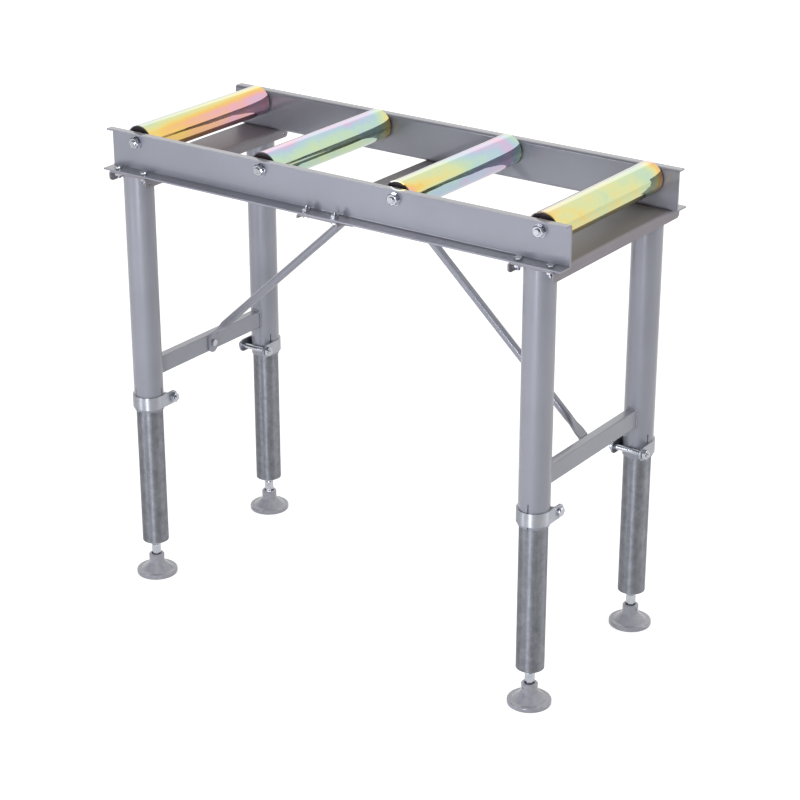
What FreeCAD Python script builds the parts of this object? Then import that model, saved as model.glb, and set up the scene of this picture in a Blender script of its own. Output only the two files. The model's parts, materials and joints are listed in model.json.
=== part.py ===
import FreeCAD, Part
import Sketcher
import math
import os
import re

# Roller stand: two channel rails with four free rollers between them, on four
# telescopic legs with clamp straps, crossbars, diagonal braces and screw feet.
# Frame: origin on the floor at the centre of the stand, X along the rails,
# Y across them, Z up. Lengths in millimetres, angles in degrees.

SIZES = [
    # Rails, an outward open channel on each side
    ("rail_length", 1000),
    ("rail_height", 76),
    ("rail_sheet", 3),
    ("rail_gap", 360),
    ("top_flange", 16),
    ("bottom_flange", 30),
    ("rail_bend", 2.5),
    ("rail_top", 916),
    # Cross members, inverted channels under the rails
    ("member_width", 90),
    ("member_depth", 20),
    ("member_sheet", 3),
    ("member_bend", 2.5),
    ("member_corner", 8),
    ("member_hole", 5),
    ("member_hole_inset", 11),
    ("member_hole_rise", 7.5),
    ("cope_height", 8.5),
    ("cope_flat", 15),
    ("cope_slope", 30),
    # Bolts and nuts that hold rails, members and braces
    ("frame_bolt", 8),
    ("bolt_clearance", 0.25),
    ("frame_bolt_flats", 13),
    ("frame_bolt_head", 5.3),
    ("frame_nut_height", 6.5),
    ("frame_bolt_tail", 5.5),
    ("rail_bolt_spread", 31.5),
    ("rail_bolt_stance", 18),
    # Outer legs, tubes slit at the lower end
    ("leg_inset", 58),
    ("outer_tube", 57),
    ("outer_wall", 2.5),
    ("outer_foot", 358),
    ("slit_width", 2.3),
    ("slit_height", 48),
    # Inner legs
    ("slide_clearance", 0.1),
    ("inner_wall", 2.5),
    ("inner_length", 400),
    ("inner_foot", 74),
    # Clamp straps
    ("strap_height", 26),
    ("strap_sheet", 3),
    ("strap_base", 364),
    ("strap_reach", 46.5),
    ("strap_bolt_reach", 34.5),
    ("fit_gap", 0.05),
    ("clamp_bolt", 10),
    ("clamp_head", 17.5),
    ("clamp_head_height", 6),
    ("clamp_nut_flats", 17),
    ("clamp_nut_height", 8),
    ("clamp_bolt_tail", 4),
    # Crossbars between front and rear legs
    ("bar_height", 35),
    ("bar_width", 20),
    ("bar_wall", 2),
    ("bar_corner", 3),
    ("bar_level", 439.5),
    # Braces from the centre member to the crossbars
    ("brace_tube", 16),
    ("brace_wall", 1.5),
    ("tab_width", 25),
    ("tab_thickness", 4),
    ("tab_bend", 4),
    ("tab_round", 12),
    ("upper_tab_end", 8),
    ("lower_tab_end", 20),
    ("brace_bolt_drop", 12),
    ("brace_upper_drop", 35),
    ("brace_lower_rise", 15.5),
    ("brace_flat", 14),
    ("brace_taper", 30),
    # Rollers, their end caps, bearings and axles
    ("roller_inset", 59),
    ("roller_tube", 60),
    ("roller_wall", 2),
    ("roller_end_gap", 5),
    ("axle_drop", 21),
    ("cap_depth", 13),
    ("cap_recess", 1),
    ("cap_disc", 3),
    ("cap_skirt", 3),
    ("hub_wall", 3.5),
    ("hub_out", 2.5),
    ("lip_sheet", 1.5),
    ("lip_bore", 20),
    ("bearing_outside", 32),
    ("bearing_width", 10),
    ("bearing_ring", 2.5),
    ("ball_clearance", 0.1),
    ("axle", 12),
    ("axle_clearance", 0.1),
    ("axle_proud", 3),
    ("axle_chamfer", 1),
    ("axle_washer", 24),
    ("axle_washer_sheet", 2.5),
    ("axle_nut_flats", 19),
    ("axle_nut_height", 8),
    ("spacer_tube", 17),
    # Screw feet
    ("foot_disc", 81),
    ("foot_rim", 9),
    ("foot_edge", 3),
    ("foot_hub", 30.5),
    ("hub_base", 23),
    ("hub_top", 41.5),
    ("hub_chamfer", 2),
    ("socket", 20),
    ("socket_floor", 12),
    ("socket_gap", 0.3),
    ("hub_hole", 3.5),
    ("hub_hole_rise", 33),
    ("spindle", 12),
    ("spindle_neck", 11),
    ("spindle_flats", 16),
    ("spindle_hex", 27),
    ("spindle_gap", 1),
    ("spindle_thread", 62),
    ("plug_height", 20),
    ("foot_nut_flats", 19),
    ("foot_nut_height", 10),
    ("thread_clearance", 0.1),
    # One overrun for every cut
    ("overrun", 1),
]

ROLLER_PLACES_SHARES = (-1.5, -0.5, 0.5, 1.5)
BALL_COUNT = 7
SLIT_COUNT = 3
# The chamfer on a hexagon starts at this share of its flats and drops at 30 degrees
HEX_LAND_SHARE = 0.95
HEX_CHAMFER_ANGLE = 30
# A thread's end tapers over this share of its diameter
THREAD_TIP_SHARE = 0.1
# The strap's arm ends are rounded to nearly a half circle
ARM_ROUND_SHARE = 0.46

# Each leg: its name, the sides it stands on, the turn of its slits, the side
# that its clamp bolt's head is on, and the turn of the small hole in its foot
LEGS = (
    ("front_left", -1, -1, -108, -1, 150),
    ("front_right", 1, -1, -80, 1, -108),
    ("rear_left", -1, 1, -28, -1, 120),
    ("rear_right", 1, 1, -23, -1, -11),
)

# Places and levels that several pieces share
LEG_SPREAD = "(rail_length / 2 - leg_inset)"
ROLLER_PITCH = "((rail_length - 2 * roller_inset) / 3)"
RAIL_BOTTOM = "(rail_top - rail_height)"
WEB_INSIDE = "(rail_gap / 2)"
WEB_OUTSIDE = "(rail_gap / 2 + rail_sheet)"
FLANGE_EDGE = "(rail_gap / 2 + rail_sheet + bottom_flange)"
LEG_STANCE = "(rail_gap / 2 + rail_sheet / 2)"
RAIL_BOLT_STANCE = "(rail_gap / 2 + rail_sheet + rail_bolt_stance)"
MEMBER_UNDERSIDE = "(rail_top - rail_height - member_sheet)"
AXLE_LEVEL = "(rail_top - axle_drop)"
ROLLER_END = "(rail_gap / 2 - roller_end_gap)"
BEARING_FACE = "(rail_gap / 2 - roller_end_gap + hub_out - lip_sheet)"
SPACER_LENGTH = "(roller_end_gap - hub_out + lip_sheet)"
OUTER_BORE = "(outer_tube / 2 - outer_wall)"
INNER_RADIUS = "(outer_tube / 2 - outer_wall - slide_clearance)"
INNER_BORE = "(outer_tube / 2 - outer_wall - slide_clearance - inner_wall)"
STRAP_LEVEL = "(strap_base + strap_height / 2)"
BOLT_HOLE = "(frame_bolt / 2 + bolt_clearance)"
BRACE_BOLT_LEVEL = "(rail_top - rail_height - brace_bolt_drop)"
UPPER_BEND_X = "(member_width / 2 + tab_thickness / 2)"
UPPER_BEND_Z = "(rail_top - rail_height - brace_upper_drop)"
LOWER_BEND_X = "(rail_length / 2 - leg_inset - bar_width / 2 - tab_thickness / 2)"
LOWER_BEND_Z = "(bar_level + brace_lower_rise)"
BRACE_RUN = f"({LOWER_BEND_X} - {UPPER_BEND_X})"
BRACE_FALL = f"({UPPER_BEND_Z} - {LOWER_BEND_Z})"
BRACE_SLOPE = f"atan({BRACE_FALL} / {BRACE_RUN})"
BRACE_LENGTH = f"sqrt({BRACE_RUN} ^ 2 + {BRACE_FALL} ^ 2)"
HEX_TOP = "(inner_foot - foot_nut_height - spindle_gap)"
BALL_RADIUS = "(socket / 2 - socket_gap)"
BALL_LEVEL = "(socket_floor + socket / 2)"

ALONG_Z = FreeCAD.Rotation()
AGAINST_Z = FreeCAD.Rotation(FreeCAD.Vector(1, 0, 0), 180)
ALONG_X = FreeCAD.Rotation(FreeCAD.Vector(0, 1, 0), 90)
AGAINST_X = FreeCAD.Rotation(FreeCAD.Vector(0, 1, 0), -90)
ALONG_Y = FreeCAD.Rotation(FreeCAD.Vector(1, 0, 0), -90)
AGAINST_Y = FreeCAD.Rotation(FreeCAD.Vector(1, 0, 0), 90)

ALIASES = {alias for alias, number in SIZES}
WORD = re.compile(r"[a-z][a-z_]*")

doc = FreeCAD.newDocument("roller_stand")
sheet = doc.addObject("Spreadsheet::Sheet", "Sizes")
for row, (alias, number) in enumerate(SIZES, 1):
    sheet.set(f"A{row}", alias.replace("_", " "))
    sheet.set(f"B{row}", str(number))
    sheet.setAlias(f"B{row}", alias)
doc.recompute()

parts = []


def bound(expression):
    """The expression with each size's name pointed at its cell of the sheet."""
    def cell(word):
        return f"Sizes.{word.group()}" if word.group() in ALIASES else word.group()
    return WORD.sub(cell, expression)


def value(expression):
    """The present value of an expression in the sheet's sizes."""
    result = sheet.evalExpression(bound(expression))
    return float(getattr(result, "Value", result))


def body(label):
    """A new body; its label names the piece."""
    piece = doc.addObject("PartDesign::Body", label)
    piece.Label = label
    return piece


def keep(piece):
    """Count the piece among the sub-parts that are written."""
    parts.append(piece)
    return piece


def place(item, x="0", y="0", z="0", turn=ALONG_Z):
    """Put the item at a place bound to the sheet."""
    item.Placement = FreeCAD.Placement(FreeCAD.Vector(), turn)
    for axis, distance in zip("xyz", (x, y, z)):
        item.setExpression(f"Placement.Base.{axis}", bound(distance))
    return item


def sketch(piece, role, offset="0"):
    """A sketch on one of the body's own origin planes, moved along its normal."""
    drawing = piece.newObject("Sketcher::SketchObject", "Sketch")
    support = next(plane for plane in piece.Origin.OriginFeatures if plane.Role == role)
    drawing.AttachmentSupport = [(support, "")]
    drawing.MapMode = "FlatFace"
    drawing.setExpression("AttachmentOffset.Base.z", bound(offset))
    return drawing


def pin(drawing, geometry, point, x, y):
    """Hold one point of the sketch at bound distances from its origin."""
    for kind, distance in (("DistanceX", x), ("DistanceY", y)):
        rule = Sketcher.Constraint(kind, -1, 1, geometry, point, value(distance))
        drawing.setExpression(f"Constraints[{drawing.addConstraint(rule)}]", bound(distance))


def circle(drawing, radius, x="0", y="0"):
    """A circle with a bound centre and radius."""
    centre = FreeCAD.Vector(value(x), value(y), 0)
    ring = drawing.addGeometry(Part.Circle(centre, FreeCAD.Vector(0, 0, 1), value(radius)), False)
    pin(drawing, ring, 3, x, y)
    rule = drawing.addConstraint(Sketcher.Constraint("Radius", ring, value(radius)))
    drawing.setExpression(f"Constraints[{rule}]", bound(radius))


def outline(drawing, corners):
    """A closed outline through (x, y) corners; a third value rounds its corner."""
    spots = [FreeCAD.Vector(value(corner[0]), value(corner[1]), 0) for corner in corners]
    count = len(corners)
    arrive, leave, arcs, turns = list(spots), list(spots), {}, {}
    for index, corner in enumerate(corners):
        if len(corner) == 3:
            before = (spots[index - 1] - spots[index]).normalize()
            after = (spots[(index + 1) % count] - spots[index]).normalize()
            half_angle = before.getAngle(after) / 2
            radius = value(corner[2])
            arrive[index] = spots[index] + before * (radius / math.tan(half_angle))
            leave[index] = spots[index] + after * (radius / math.tan(half_angle))
            middle = (before + after).normalize()
            centre = spots[index] + middle * (radius / math.sin(half_angle))
            crown = centre - middle * radius
            arcs[index] = Part.Arc(arrive[index], crown, leave[index])
            # An arc's own start and end run anticlockwise, whichever way the outline turns
            turns[index] = (1, 2) if before.cross(after).z < 0 else (2, 1)
    lines = []
    for index in range(count):
        following = (index + 1) % count
        line = Part.LineSegment(leave[index], arrive[following])
        lines.append(drawing.addGeometry(line, False))
    for index, corner in enumerate(corners):
        before, after = lines[index - 1], lines[index]
        if index not in arcs:
            drawing.addConstraint(Sketcher.Constraint("Coincident", before, 2, after, 1))
            pin(drawing, after, 1, corner[0], corner[1])
            continue
        arc = drawing.addGeometry(arcs[index], False)
        ends = turns[index]
        drawing.addConstraint(Sketcher.Constraint("Tangent", before, 2, arc, ends[0]))
        drawing.addConstraint(Sketcher.Constraint("Tangent", arc, ends[1], after, 1))
        rule = drawing.addConstraint(Sketcher.Constraint("Radius", arc, value(corner[2])))
        drawing.setExpression(f"Constraints[{rule}]", bound(corner[2]))
        point = drawing.addGeometry(Part.Point(spots[index]), True)
        pin(drawing, point, 1, corner[0], corner[1])
        drawing.addConstraint(Sketcher.Constraint("PointOnObject", point, 1, before))
        drawing.addConstraint(Sketcher.Constraint("PointOnObject", point, 1, after))


def box(drawing, left, right, low, high):
    """A rectangle between bound sides."""
    outline(drawing, [(left, low), (right, low), (right, high), (left, high)])


def hexagon(drawing, flats):
    """A hexagon round the sketch's origin, by its width across flats."""
    outline(drawing, [
        (f"{flats} / sqrt(3) * cos({60 * corner})", f"{flats} / sqrt(3) * sin({60 * corner})")
        for corner in range(6)
    ])


def pad(piece, drawing, length, side="One side"):
    """Raise the sketch along its normal, or to both sides of its plane."""
    feature = piece.newObject("PartDesign::Pad", "Pad")
    feature.Profile = drawing
    feature.SideType = side
    feature.setExpression("Length", bound(length))
    return feature


def cut(piece, drawing, length):
    """Cut the sketch's outline, half of the length to each side of its plane."""
    feature = piece.newObject("PartDesign::Pocket", "Pocket")
    feature.Profile = drawing
    feature.SideType = "Symmetric"
    feature.setExpression("Length", bound(length))
    return feature


def turned(piece, corners, kind="PartDesign::Revolution"):
    """Turn an outline of (radius, height) corners round the piece's Z axis."""
    drawing = sketch(piece, "XZ_Plane")
    outline(drawing, corners)
    feature = piece.newObject(kind, "Turned")
    feature.Profile = drawing
    feature.ReferenceAxis = (drawing, ["V_Axis"])
    feature.Angle = 360
    return feature


def edges(feature, wanted):
    """The names of the feature's straight edges whose two ends both pass the test."""
    doc.recompute()
    names = []
    for number, edge in enumerate(feature.Shape.Edges, 1):
        ends = [vertex.Point for vertex in edge.Vertexes]
        if isinstance(edge.Curve, Part.Line) and wanted(*ends):
            names.append(f"Edge{number}")
    return names


def rounded(piece, feature, wanted, radius):
    """Round the feature's chosen edges."""
    fillet = piece.newObject("PartDesign::Fillet", "Fillet")
    fillet.Base = (feature, edges(feature, wanted))
    fillet.setExpression("Radius", bound(radius))
    return fillet


def hex_corners_off(piece, flats, face, inward):
    """Turn the corners off a hexagon at one end face; inward is 1 up or -1 down."""
    land = f"{flats} / 2 * {HEX_LAND_SHARE}"
    outer = f"({flats} / sqrt(3) + overrun)"
    drop = f"(({outer} - {land}) * tan({HEX_CHAMFER_ANGLE}))"
    turned(piece, [
        (land, face),
        (outer, f"{face} - {inward} * overrun"),
        (outer, f"{face} + {inward} * {drop}"),
    ], "PartDesign::Groove")


def hex_bolt(label, diameter, flats, head, length):
    """A hexagon bolt along Z, its head's bearing face at zero and its shank below."""
    piece = body(label)
    tip = f"{diameter} * {THREAD_TIP_SHARE}"
    turned(piece, [
        ("0", "0"), ("0", f"-({length})"), (f"{diameter} / 2 - {tip}", f"-({length})"),
        (f"{diameter} / 2", f"-({length}) + {tip}"), (f"{diameter} / 2", "0"),
    ])
    drawing = sketch(piece, "XY_Plane")
    hexagon(drawing, flats)
    pad(piece, drawing, head)
    hex_corners_off(piece, flats, head, -1)
    return piece


def hex_nut(label, bore, flats, height):
    """A hexagon nut along Z, seated on zero and standing above it."""
    piece = body(label)
    drawing = sketch(piece, "XY_Plane")
    hexagon(drawing, flats)
    circle(drawing, bore)
    pad(piece, drawing, height)
    hex_corners_off(piece, flats, height, -1)
    hex_corners_off(piece, flats, "0", 1)
    return piece


def ring(label, outside, bore, height):
    """A plain ring along Z, seated on zero and standing above it."""
    piece = body(label)
    drawing = sketch(piece, "XY_Plane")
    circle(drawing, outside)
    circle(drawing, bore)
    pad(piece, drawing, height)
    return piece


def group(label, copies):
    """One sub-part of identical solids: (piece, x, y, z, turn) for each copy."""
    links = []
    for piece, x, y, z, turn in copies:
        link = doc.addObject("App::Link", f"{label}_copy")
        link.LinkedObject = piece
        links.append(place(link, x, y, z, turn))
    together = doc.addObject("Part::Compound", label)
    together.Label = label
    together.Links = links
    return keep(together)


def roller_place(share):
    """How far along the rails a roller lies."""
    return f"({share} * {ROLLER_PITCH})"


def member_places():
    """The middle of each cross member, with its name."""
    return (("left", f"(-{LEG_SPREAD})"), ("centre", "0"), ("right", LEG_SPREAD))


def rail(label, turn):
    """A rail: web, outward flanges, bolt holes below and axle holes in the web."""
    piece = keep(body(label))
    section = sketch(piece, "YZ_Plane")
    outside_bend = "rail_bend + rail_sheet"
    top_edge = "rail_gap / 2 + rail_sheet + top_flange"
    outline(section, [
        (WEB_INSIDE, RAIL_BOTTOM, outside_bend),
        (FLANGE_EDGE, RAIL_BOTTOM),
        (FLANGE_EDGE, f"{RAIL_BOTTOM} + rail_sheet"),
        (WEB_OUTSIDE, f"{RAIL_BOTTOM} + rail_sheet", "rail_bend"),
        (WEB_OUTSIDE, "rail_top - rail_sheet", "rail_bend"),
        (top_edge, "rail_top - rail_sheet"),
        (top_edge, "rail_top"),
        (WEB_INSIDE, "rail_top", outside_bend),
    ])
    pad(piece, section, "rail_length", "Symmetric")
    bolt_holes = sketch(piece, "XY_Plane", RAIL_BOTTOM)
    for name, middle in member_places():
        for side in (-1, 1):
            circle(bolt_holes, BOLT_HOLE, f"{middle} + {side} * rail_bolt_spread", RAIL_BOLT_STANCE)
    cut(piece, bolt_holes, "2 * (rail_sheet + overrun)")
    axle_holes = sketch(piece, "XZ_Plane", f"-{WEB_OUTSIDE}")
    for share in ROLLER_PLACES_SHARES:
        circle(axle_holes, "axle / 2 + axle_clearance", roller_place(share), AXLE_LEVEL)
    cut(piece, axle_holes, "2 * (rail_sheet + overrun)")
    return place(piece, turn=turn)


def cross_member(name, middle):
    """An inverted channel with bolt holes; the end ones have rounded flange corners and
    small holes in the inner flange, and the centre one's flanges are coped at their ends."""
    piece = keep(body(f"{name}_cross_member"))
    section = sketch(piece, "XZ_Plane")
    side, inside = "member_width / 2", "(member_width / 2 - member_sheet)"
    low = f"{RAIL_BOTTOM} - member_depth"
    outline(section, [
        (f"-{side}", low),
        (f"-{inside}", low),
        (f"-{inside}", MEMBER_UNDERSIDE, "member_bend"),
        (inside, MEMBER_UNDERSIDE, "member_bend"),
        (inside, low),
        (side, low),
        (side, RAIL_BOTTOM, "member_bend + member_sheet"),
        (f"-{side}", RAIL_BOTTOM, "member_bend + member_sheet"),
    ])
    channel = pad(piece, section, f"2 * {FLANGE_EDGE}", "Symmetric")
    if name == "centre":
        for end in (-1, 1):
            cope = sketch(piece, "YZ_Plane")
            outline(cope, [
                (f"{end} * ({FLANGE_EDGE} + overrun)", f"{RAIL_BOTTOM} - cope_height"),
                (f"{end} * ({FLANGE_EDGE} - cope_flat)", f"{RAIL_BOTTOM} - cope_height"),
                (f"{end} * ({FLANGE_EDGE} - cope_flat - cope_slope)", low),
                (f"{end} * ({FLANGE_EDGE} - cope_flat - cope_slope)", f"{low} - overrun"),
                (f"{end} * ({FLANGE_EDGE} + overrun)", f"{low} - overrun"),
            ])
            cut(piece, cope, "member_width + 2 * overrun")
    else:
        end, bottom, near = value(FLANGE_EDGE), value(low), value("fit_gap")
        rounded(piece, channel, lambda start, stop: (
            abs(abs(start.y) - end) < near and abs(start.y - stop.y) < near
            and abs(start.z - bottom) < near and abs(stop.z - bottom) < near
        ), "member_corner")
        doc.recompute()
    bolt_holes = sketch(piece, "XY_Plane", RAIL_BOTTOM)
    for along in (-1, 1):
        for across in (-1, 1):
            circle(bolt_holes, BOLT_HOLE, f"{along} * rail_bolt_spread", f"{across} * {RAIL_BOLT_STANCE}")
    cut(piece, bolt_holes, "2 * (member_sheet + overrun)")
    if name == "centre":
        brace_holes = sketch(piece, "YZ_Plane")
        circle(brace_holes, BOLT_HOLE, "0", BRACE_BOLT_LEVEL)
        cut(piece, brace_holes, "member_width + 2 * overrun")
    else:
        inward = 1 if name == "left" else -1
        side_holes = sketch(piece, "YZ_Plane", f"{inward} * (member_width / 2)")
        for across in (-1, 1):
            circle(side_holes, "member_hole / 2", f"{across} * ({FLANGE_EDGE} - member_hole_inset)",
                   f"{low} + member_hole_rise")
        cut(piece, side_holes, "2 * (member_sheet + overrun)")
    return place(piece, x=middle)


def outer_leg(name, side, across, slit_turn):
    """A leg tube under the cross member's plate, slit at its lower end for the clamp."""
    piece = keep(body(f"{name}_outer_leg"))
    section = sketch(piece, "XY_Plane", "outer_foot")
    circle(section, "outer_tube / 2")
    circle(section, OUTER_BORE)
    pad(piece, section, f"{MEMBER_UNDERSIDE} - outer_foot")
    for number in range(SLIT_COUNT):
        angle = slit_turn + 360 / SLIT_COUNT * number
        slit = sketch(piece, "XY_Plane", "outer_foot")
        far, half = "(outer_tube / 2 + overrun)", "(slit_width / 2)"
        near = f"({OUTER_BORE} - overrun)"
        outline(slit, [
            (f"{reach} * cos({angle}) - {edge} * {half} * sin({angle})",
             f"{reach} * sin({angle}) + {edge} * {half} * cos({angle})")
            for reach, edge in ((near, -1), (far, -1), (far, 1), (near, 1))
        ])
        cut(piece, slit, "2 * slit_height")
    return place(piece, x=f"{side} * {LEG_SPREAD}", y=f"{across} * {LEG_STANCE}")


def inner_leg(name, side, across):
    """The tube that slides in the outer leg."""
    piece = keep(body(f"{name}_inner_leg"))
    section = sketch(piece, "XY_Plane", "inner_foot")
    circle(section, INNER_RADIUS)
    circle(section, INNER_BORE)
    pad(piece, section, "inner_length")
    return place(piece, x=f"{side} * {LEG_SPREAD}", y=f"{across} * {LEG_STANCE}")


def leg_end_nuts(name, side, across):
    """The threaded plug in the inner leg's end and the lock nut under it."""
    plug = ring(f"{name}_plug", f"{INNER_BORE} - fit_gap", "spindle / 2 + thread_clearance", "plug_height")
    nut = hex_nut(f"{name}_lock_nut", "spindle / 2 + thread_clearance", "foot_nut_flats", "foot_nut_height")
    x, y = f"{side} * {LEG_SPREAD}", f"{across} * {LEG_STANCE}"
    return group(f"{name}_leg_end_nuts", [
        (plug, x, y, "inner_foot", ALONG_Z),
        (nut, x, y, "inner_foot - foot_nut_height", ALONG_Z),
    ])


def foot_pad(name, side, across, hole_turn):
    """The cast foot: a disc, a cone and a hub with a socket for the spindle's ball."""
    piece = keep(body(f"{name}_foot_pad"))
    turned(piece, [
        ("0", "0"),
        ("foot_disc / 2", "0", "foot_edge / 2"),
        ("foot_disc / 2", "foot_rim", "foot_edge"),
        ("foot_disc / 2 - foot_rim", "foot_rim", "foot_edge"),
        ("foot_hub / 2", "hub_base"),
        ("foot_hub / 2", "hub_top - hub_chamfer"),
        ("foot_hub / 2 - hub_chamfer", "hub_top"),
        ("socket / 2", "hub_top"),
        ("socket / 2", "socket_floor"),
        ("0", "socket_floor"),
    ])
    hole = sketch(piece, "YZ_Plane", "foot_hub / 2")
    circle(hole, "hub_hole / 2", "0", "hub_hole_rise")
    cut(piece, hole, "foot_hub - socket + overrun")
    turn = FreeCAD.Rotation(FreeCAD.Vector(0, 0, 1), hole_turn)
    return place(piece, x=f"{side} * {LEG_SPREAD}", y=f"{across} * {LEG_STANCE}", turn=turn)


def foot_spindle(name, side, across):
    """The foot's screw: a ball in the socket, a neck, a hexagon and the thread."""
    piece = keep(body(f"{name}_foot_spindle"))
    tip = f"spindle * {THREAD_TIP_SHARE}"
    top = f"({HEX_TOP} + spindle_thread)"
    turned(piece, [
        ("0", BALL_LEVEL),
        ("spindle_neck / 2", BALL_LEVEL),
        ("spindle_neck / 2", f"{HEX_TOP} - spindle_hex"),
        ("spindle / 2", f"{HEX_TOP} - spindle_hex"),
        ("spindle / 2", f"{top} - {tip}"),
        (f"spindle / 2 - {tip}", top),
        ("0", top),
    ])
    hex_part = sketch(piece, "XY_Plane", f"{HEX_TOP} - spindle_hex")
    hexagon(hex_part, "spindle_flats")
    pad(piece, hex_part, "spindle_hex")
    hex_corners_off(piece, "spindle_flats", HEX_TOP, -1)
    ball = piece.newObject("PartDesign::AdditiveSphere", "Ball")
    floor_plane = next(plane for plane in piece.Origin.OriginFeatures if plane.Role == "XY_Plane")
    ball.AttachmentSupport = [(floor_plane, "")]
    ball.MapMode = "FlatFace"
    ball.setExpression("Radius", bound(BALL_RADIUS))
    ball.setExpression("AttachmentOffset.Base.z", bound(BALL_LEVEL))
    return place(piece, x=f"{side} * {LEG_SPREAD}", y=f"{across} * {LEG_STANCE}")


def clamp_strap(name, side, across):
    """A strap bent round the outer side of the leg, its two arms bolted together."""
    piece = keep(body(f"{name}_clamp_strap"))
    inside = "(outer_tube / 2 + fit_gap)"
    outside = "(outer_tube / 2 + fit_gap + strap_sheet)"
    bend = sketch(piece, "XY_Plane")
    circle(bend, outside)
    circle(bend, inside)
    pad(piece, bend, "strap_height", "Symmetric")
    arms = sketch(piece, "XY_Plane")
    box(arms, f"-{outside}", f"-{inside}", "0", "strap_reach")
    box(arms, inside, outside, "0", "strap_reach")
    pad(piece, arms, "strap_height", "Symmetric")
    mouth = sketch(piece, "XY_Plane")
    box(mouth, f"-{inside}", inside, "0", "strap_reach + overrun")
    opened = cut(piece, mouth, "strap_height + 2 * overrun")
    doc.recompute()
    end, half, near = value("strap_reach"), value("strap_height / 2"), value("fit_gap")
    rounded(piece, opened, lambda start, stop: (
        abs(start.y - end) < near and abs(stop.y - end) < near
        and abs(abs(start.z) - half) < near and abs(start.z - stop.z) < near
    ), f"strap_height * {ARM_ROUND_SHARE}")
    doc.recompute()
    hole = sketch(piece, "YZ_Plane")
    circle(hole, "clamp_bolt / 2 + bolt_clearance", "strap_bolt_reach", "0")
    cut(piece, hole, f"2 * ({outside} + overrun)")
    turn = FreeCAD.Rotation(FreeCAD.Vector(0, 0, 1), 0 if across < 0 else 180)
    return place(piece, f"{side} * {LEG_SPREAD}", f"{across} * {LEG_STANCE}", STRAP_LEVEL, turn)


def clamp_bolt():
    """The clamp's bolt, with a plain domed head, along Z with its head above zero."""
    piece = body("clamp_bolt")
    length = "(outer_tube + 2 * fit_gap + 2 * strap_sheet + clamp_nut_height + clamp_bolt_tail)"
    tip = f"clamp_bolt * {THREAD_TIP_SHARE}"
    turned(piece, [
        ("0", f"-{length}"),
        (f"clamp_bolt / 2 - {tip}", f"-{length}"),
        ("clamp_bolt / 2", f"-{length} + {tip}"),
        ("clamp_bolt / 2", "0"),
        ("clamp_head / 2", "0"),
        ("clamp_head / 2", "clamp_head_height", "clamp_head_height / 2"),
        ("0", "clamp_head_height"),
    ])
    return piece


def crossbar(name, side):
    """A rectangular tube between front and rear leg, its ends coped to the tubes."""
    piece = keep(body(f"{name}_crossbar"))
    section = sketch(piece, "XZ_Plane")
    for inset, corner in (("0", "bar_corner"), ("bar_wall", "(bar_corner - bar_wall)")):
        half_width = f"(bar_width / 2 - {inset})"
        half_height = f"(bar_height / 2 - {inset})"
        outline(section, [
            (f"-{half_width}", f"-{half_height}", corner),
            (half_width, f"-{half_height}", corner),
            (half_width, half_height, corner),
            (f"-{half_width}", half_height, corner),
        ])
    pad(piece, section, f"2 * {LEG_STANCE}", "Symmetric")
    copes = sketch(piece, "XY_Plane")
    for across in (-1, 1):
        circle(copes, "outer_tube / 2 + fit_gap", "0", f"{across} * {LEG_STANCE}")
    cut(piece, copes, "bar_height + 2 * overrun")
    hole = sketch(piece, "YZ_Plane", f"{-side} * (bar_width / 2)")
    circle(hole, BOLT_HOLE)
    cut(piece, hole, "2 * (bar_wall + overrun)")
    return place(piece, x=f"{side} * {LEG_SPREAD}", z="bar_level")


def brace_end(piece, bend_x, bend_z, sense, tab_length):
    """One flattened and bent end of a brace; sense is 1 at its upper end, -1 below."""
    half = "(tab_thickness / 2)"
    mitre = f"({half} * (1 - sin({BRACE_SLOPE})) / cos({BRACE_SLOPE}))"
    along_x, along_z = f"(brace_flat * cos({BRACE_SLOPE}))", f"(-brace_flat * sin({BRACE_SLOPE}))"
    normal_x, normal_z = f"({half} * sin({BRACE_SLOPE}))", f"({half} * cos({BRACE_SLOPE}))"
    side_view = sketch(piece, "XZ_Plane")
    corners = [
        (half, tab_length),
        (half, mitre, "tab_bend"),
        (f"{along_x} + {normal_x}", f"{along_z} + {normal_z}"),
        (f"{along_x} - {normal_x}", f"{along_z} - {normal_z}"),
        (f"-{half}", f"-{mitre}", "tab_bend + tab_thickness"),
        (f"-{half}", tab_length),
    ]
    outline(side_view, [
        (f"{bend_x} + {sense} * ({corner[0]})", f"{bend_z} + {sense} * ({corner[1]})", *corner[2:])
        for corner in corners
    ])
    strip = pad(piece, side_view, "tab_width", "Symmetric")
    doc.recompute()
    end = value(f"{bend_z} + {sense} * ({tab_length})")
    half_width, near = value("tab_width / 2"), value("fit_gap")
    return rounded(piece, strip, lambda start, stop: (
        abs(start.z - end) < near and abs(stop.z - end) < near
        and abs(abs(start.y) - half_width) < near and abs(start.y - stop.y) < near
    ), "tab_round")


def slanted_sketch(piece, distance):
    """A sketch square to the brace's slope, at a distance down from its upper bend."""
    drawing = sketch(piece, "XY_Plane")
    tilt = FreeCAD.Rotation(FreeCAD.Vector(0, 1, 0), 90)
    drawing.AttachmentOffset = FreeCAD.Placement(FreeCAD.Vector(), tilt)
    drawing.setExpression("AttachmentOffset.Rotation.Angle", bound(f"90 deg + {BRACE_SLOPE}"))
    along_x = f"{UPPER_BEND_X} + {distance} * cos({BRACE_SLOPE})"
    along_z = f"{UPPER_BEND_Z} - {distance} * sin({BRACE_SLOPE})"
    drawing.setExpression("AttachmentOffset.Base.x", bound(along_x))
    drawing.setExpression("AttachmentOffset.Base.z", bound(along_z))
    return drawing


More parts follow.
